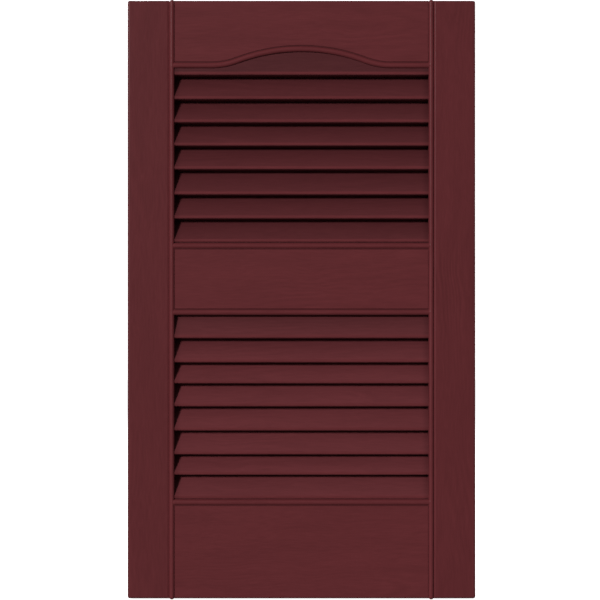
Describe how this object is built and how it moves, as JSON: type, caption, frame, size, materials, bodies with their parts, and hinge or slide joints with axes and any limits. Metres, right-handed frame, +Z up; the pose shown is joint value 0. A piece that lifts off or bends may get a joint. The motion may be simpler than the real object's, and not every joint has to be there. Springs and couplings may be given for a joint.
{
  "type": "louvred window shutter",
  "caption": "Decorative exterior window shutter with fixed louvres in two banks, an arched top rail, a middle rail and half-round beads, moulded in one piece and ribbed behind.",
  "frame": {"origin": "centre of the panel's back, in the wall plane, on the upright rib behind the middle rail", "axes": "+Z up the panel, +X to the right as seen from the front, -Y out of the front, +Y into the wall"},
  "size_m": [0.3682, 0.0254, 0.635],
  "materials": {
    "moulded_plastic": "through-coloured burgundy polypropylene with embossed wood grain and a soft, low sheen"
  },
  "bodies": {
    "root": {"shutter_panel": "moulded_plastic"}
  },
  "joints": []
}
